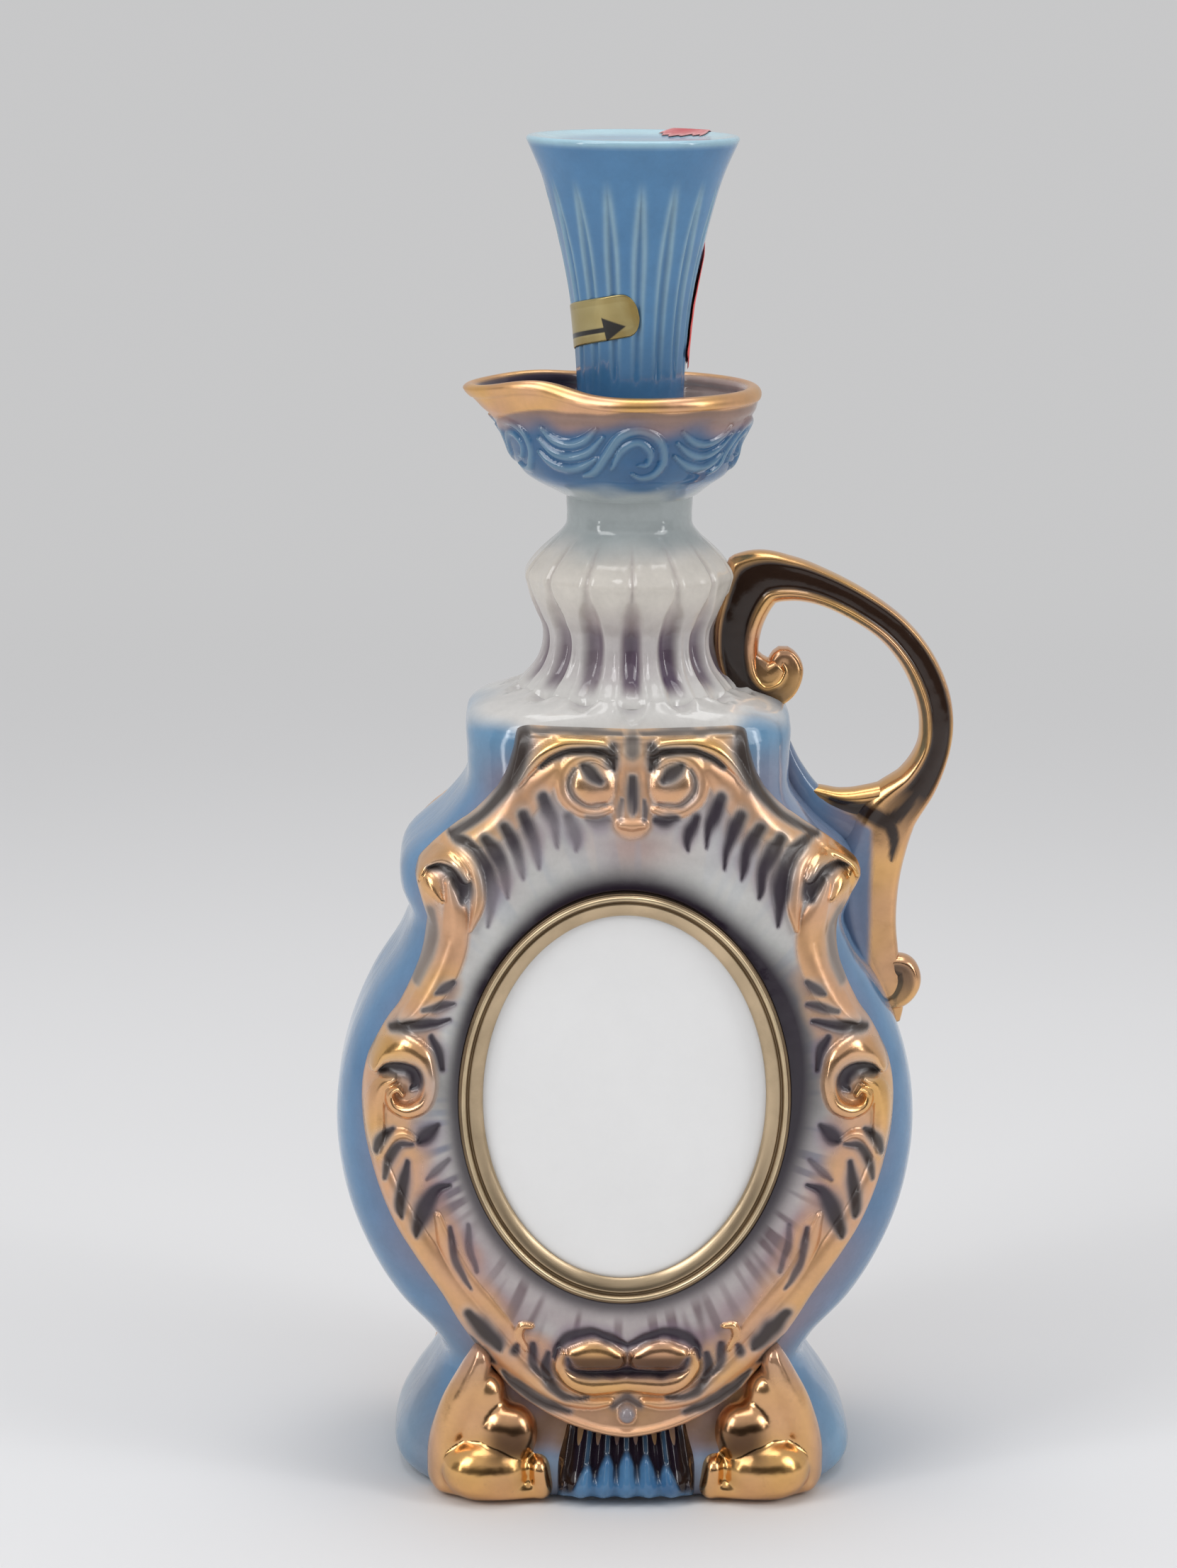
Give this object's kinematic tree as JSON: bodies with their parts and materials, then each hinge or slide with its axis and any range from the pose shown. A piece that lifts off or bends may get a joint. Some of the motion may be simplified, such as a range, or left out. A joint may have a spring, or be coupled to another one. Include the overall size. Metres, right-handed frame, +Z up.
{
  "type": "figural liquor decanter",
  "caption": "Flattened china decanter with a scrolled gilt frame round a plain oval on each face, a fluted neck, a lipped pouring bowl, a scroll handle and a flared corked stopper.",
  "frame": {"origin": "on the neck's axis, on the plane that the decanter stands on", "axes": "+Z up along the neck's axis; the front face looks along -Y; the pouring lip is on -X and the handle on +X"},
  "size_m": [0.1345, 0.0824, 0.2925],
  "materials": {
    "body_glaze": "sky-blue gloss glaze that fades to white on the shoulder",
    "neck_glaze": "white gloss glaze with violet strokes in the flutes",
    "bowl_glaze": "blue gloss glaze with a gilt rim",
    "gilding": "fired-on copper-gold lustre over china",
    "frame_lustre": "copper-gold lustre over a mauve and grey-white glaze",
    "bezel_metal": "polished",
    "medallion_glaze": "plain white gloss",
    "stopper_glaze": "sky-blue gloss glaze",
    "cork": "natural cork",
    "label_foil": "gold foil on paper",
    "strip_paper": "red paper, torn"
  },
  "bodies": {
    "vessel": {"body_shell": "body_glaze", "fluted_neck": "neck_glaze", "pouring_bowl": "bowl_glaze", "handle": "gilding", "front_frame": "frame_lustre", "back_frame": "frame_lustre", "front_bezel": "bezel_metal", "back_bezel": "bezel_metal", "front_medallion": "medallion_glaze", "back_medallion": "medallion_glaze", "front_left_foot": "gilding", "front_right_foot": "gilding", "back_left_foot": "gilding", "back_right_foot": "gilding", "front_shell_fan": "bowl_glaze", "back_shell_fan": "bowl_glaze"},
    "cork": {"cork_sleeve": "cork"},
    "stopper": {"stopper": "stopper_glaze", "open_label": "label_foil", "seal_strip": "strip_paper"}
  },
  "joints": [
    {"name": "stopper_lift", "type": "slide", "parent": "vessel", "child": "cork", "axis": [0, 0, 1], "range_m": [0, 0.06]},
    {"name": "stopper_twist", "type": "hinge", "parent": "cork", "child": "stopper", "pos_m": [0, 0, 0.21], "axis": [0, 0, 1], "continuous": true}
  ]
}
